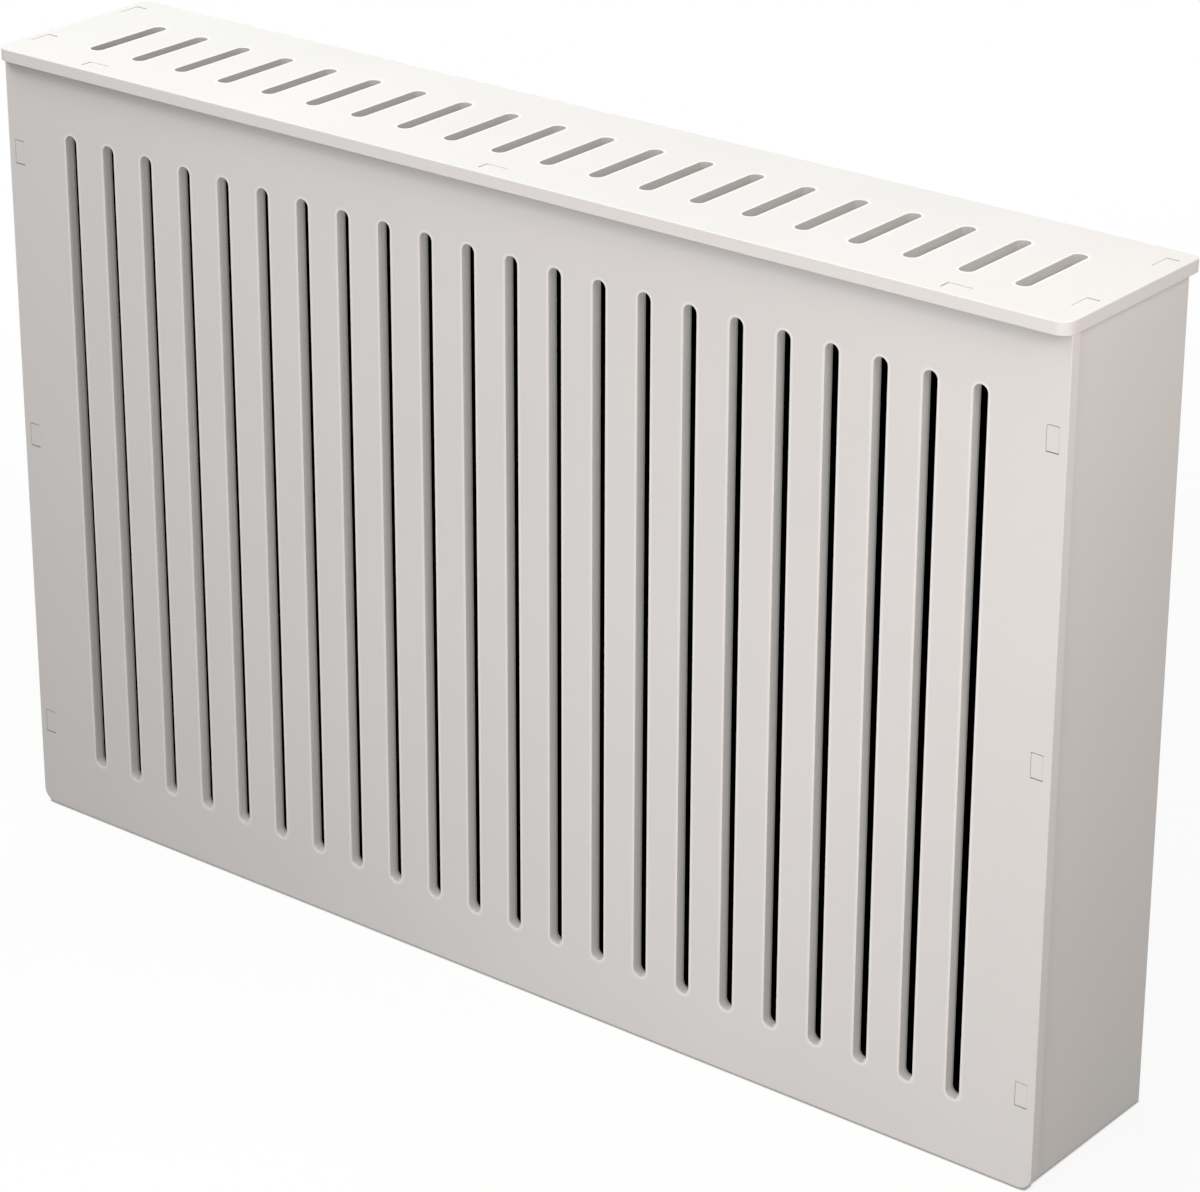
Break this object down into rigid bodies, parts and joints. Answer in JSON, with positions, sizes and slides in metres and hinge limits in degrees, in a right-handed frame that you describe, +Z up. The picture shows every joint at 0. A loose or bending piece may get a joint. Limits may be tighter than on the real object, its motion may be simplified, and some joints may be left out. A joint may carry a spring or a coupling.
{
  "type": "radiator cover",
  "caption": "Free-standing radiator cover: slotted front, plain ends and a slotted lift-off lid plug together by through tabs, with wall brackets inside.",
  "frame": {"origin": "middle of the rectangle the cover stands in, at floor level, under the centre of the lid", "axes": "+Z up, +X to the right as seen from the front, +Y from the slotted front towards the wall"},
  "size_m": [0.9, 0.153, 0.6],
  "materials": {
    "white_board": "fibreboard sprayed all over with satin white lacquer",
    "zinc_steel": "bright zinc plating, satin"
  },
  "bodies": {
    "carcass": {"front_panel": "white_board", "side_panel_left": "white_board", "side_panel_right": "white_board", "wall_bracket_left": "zinc_steel", "wall_bracket_right": "zinc_steel", "bracket_screw_left_1": "zinc_steel", "bracket_screw_left_2": "zinc_steel", "bracket_screw_right_1": "zinc_steel", "bracket_screw_right_2": "zinc_steel"},
    "lid": {"lid": "white_board"}
  },
  "joints": [
    {"name": "lid_lift", "type": "slide", "parent": "carcass", "child": "lid", "axis": [0, 0, 1], "range_m": [0, 0.05]}
  ]
}
